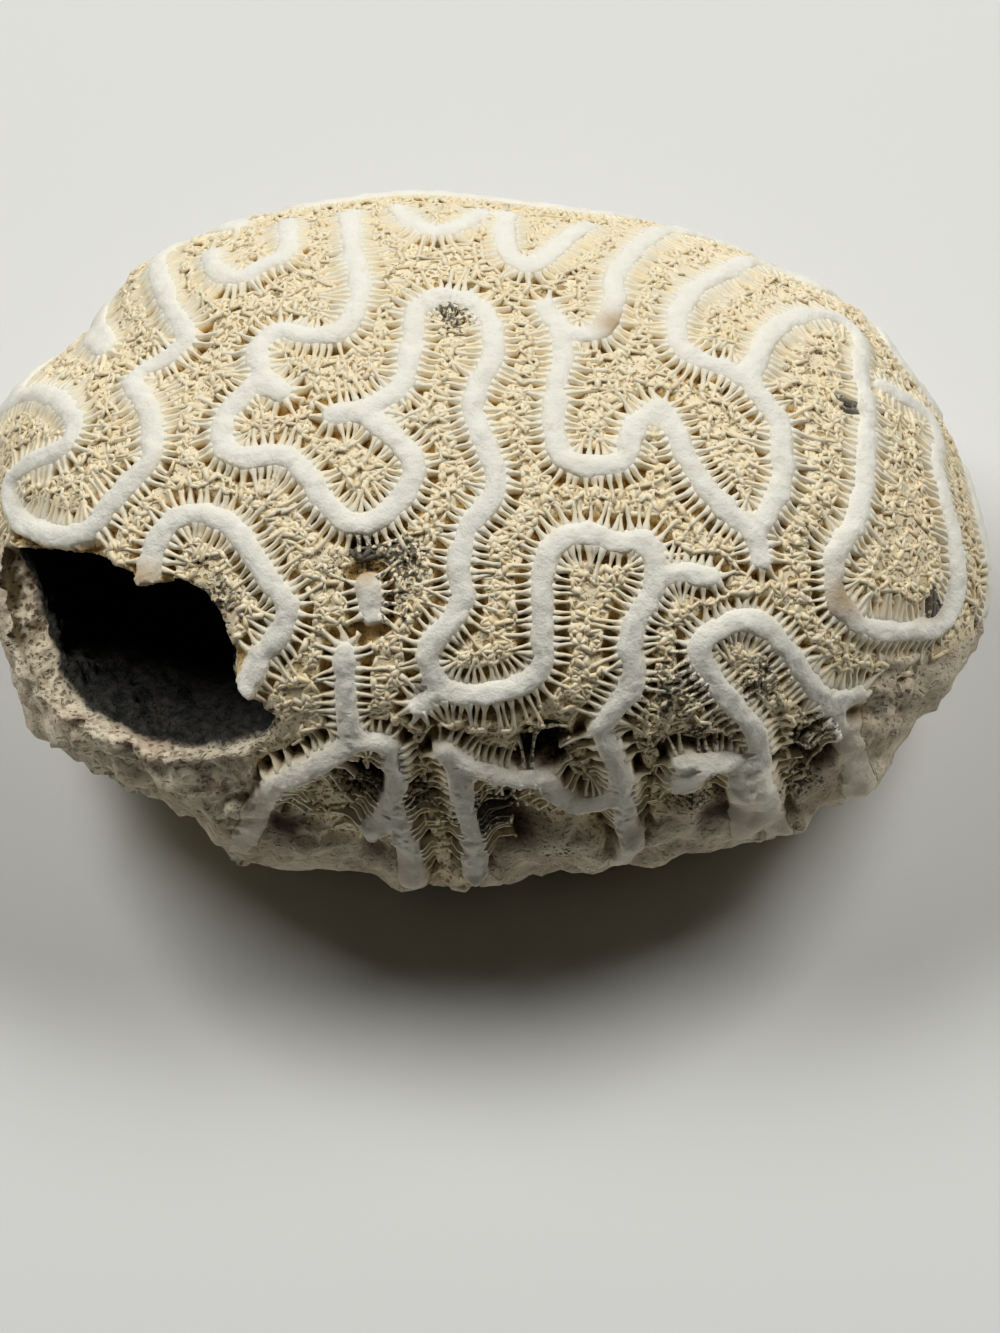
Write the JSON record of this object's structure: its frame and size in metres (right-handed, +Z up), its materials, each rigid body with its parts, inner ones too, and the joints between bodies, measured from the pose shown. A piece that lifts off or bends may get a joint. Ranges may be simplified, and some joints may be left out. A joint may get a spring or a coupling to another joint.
{
  "type": "fossil brain coral",
  "caption": "Loose domed lump of brain coral skeleton with winding raised walls and septate valleys, hollowed at its left front, cut off flat beneath.",
  "frame": {"origin": "middle of the flat base that the lump rests on, under the middle of its outline", "axes": "+X to the right along the lump's long side as the picture shows it, +Y to its back, +Z up out of the walled crown; the hollow opens towards -Y and +Z near the -X end"},
  "size_m": [0.0861, 0.0618, 0.0424],
  "materials": {
    "coral_skeleton": "matt, chalky and porous, white on the worn walls and ochre to brown between the septa"
  },
  "bodies": {
    "root": {"brain_coral": "coral_skeleton"}
  },
  "joints": []
}
